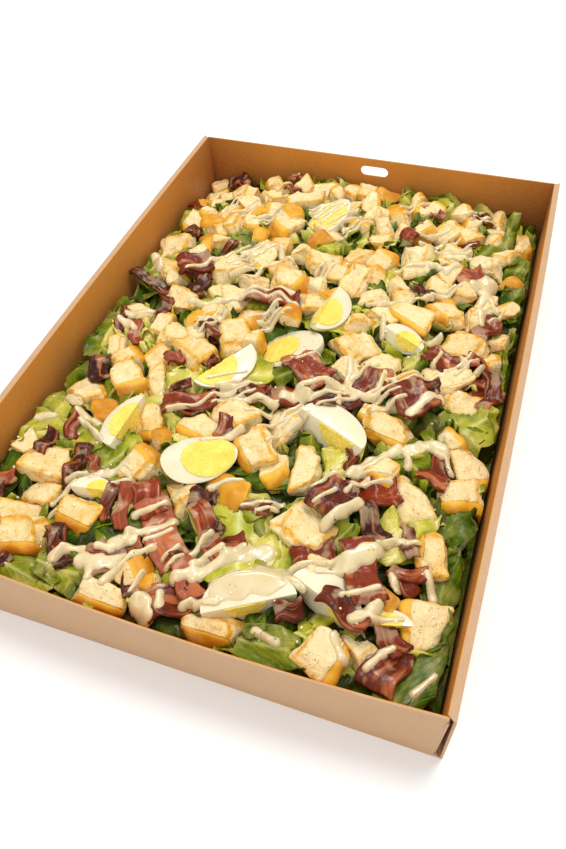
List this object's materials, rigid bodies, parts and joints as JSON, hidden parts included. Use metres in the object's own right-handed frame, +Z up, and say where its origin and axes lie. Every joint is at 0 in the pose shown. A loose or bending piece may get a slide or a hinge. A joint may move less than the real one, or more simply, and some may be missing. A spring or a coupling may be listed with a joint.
{
  "type": "caesar salad in an open catering tray",
  "caption": "Caesar salad for a party: romaine with croutons, boiled egg, bacon and creamy dressing, heaped in an open kraft cardboard tray with a hand slot.",
  "frame": {"origin": "on the table under the middle of the tray", "axes": "+Z up; +Y along the tray's length towards the end wall with the hand slot; +X towards the right-hand long wall as seen from the other end"},
  "size_m": [0.314, 0.4359, 0.06],
  "materials": {
    "kraft_board": "matte",
    "romaine": "satin",
    "toasted_bread": "matte",
    "boiled_egg": "satin",
    "cured_bacon": "satin"
  },
  "bodies": {
    "root": {"bacon_01": "cured_bacon", "bacon_02": "cured_bacon", "bacon_03": "cured_bacon", "bacon_04": "cured_bacon", "bacon_05": "cured_bacon", "bacon_06": "cured_bacon", "bacon_07": "cured_bacon", "bacon_08": "cured_bacon", "bacon_09": "cured_bacon", "bacon_10": "cured_bacon", "bacon_11": "cured_bacon", "bacon_12": "cured_bacon", "bacon_13": "cured_bacon", "bacon_14": "cured_bacon", "crouton_03": "toasted_bread", "crouton_09": "toasted_bread", "crouton_10": "toasted_bread", "crouton_11": "toasted_bread", "crouton_12": "toasted_bread", "crouton_13": "toasted_bread", "crouton_16": "toasted_bread", "crouton_17": "toasted_bread", "crouton_20": "toasted_bread", "crouton_24": "toasted_bread", "crouton_26": "toasted_bread", "crouton_29": "toasted_bread", "crouton_34": "toasted_bread", "crouton_35": "toasted_bread", "crouton_36": "toasted_bread", "crouton_37": "toasted_bread", "crouton_43": "toasted_bread", "crouton_47": "toasted_bread", "crouton_50": "toasted_bread", "crouton_54": "toasted_bread", "crouton_56": "toasted_bread", "crouton_58": "toasted_bread", "crouton_60": "toasted_bread", "crouton_64": "toasted_bread", "crouton_67": "toasted_bread", "crouton_69": "toasted_bread", "crouton_70": "toasted_bread", "crouton_74": "toasted_bread", "crouton_76": "toasted_bread", "crouton_78": "toasted_bread", "crouton_80": "toasted_bread", "egg_01": "boiled_egg", "egg_02": "boiled_egg", "egg_03": "boiled_egg", "egg_04": "boiled_egg", "egg_05": "boiled_egg", "egg_06": "boiled_egg", "egg_07": "boiled_egg", "egg_08": "boiled_egg", "egg_09": "boiled_egg", "egg_10": "boiled_egg", "egg_11": "boiled_egg", "egg_12": "boiled_egg", "egg_13": "boiled_egg", "lettuce": "romaine", "tray": "kraft_board"}
  },
  "joints": []
}
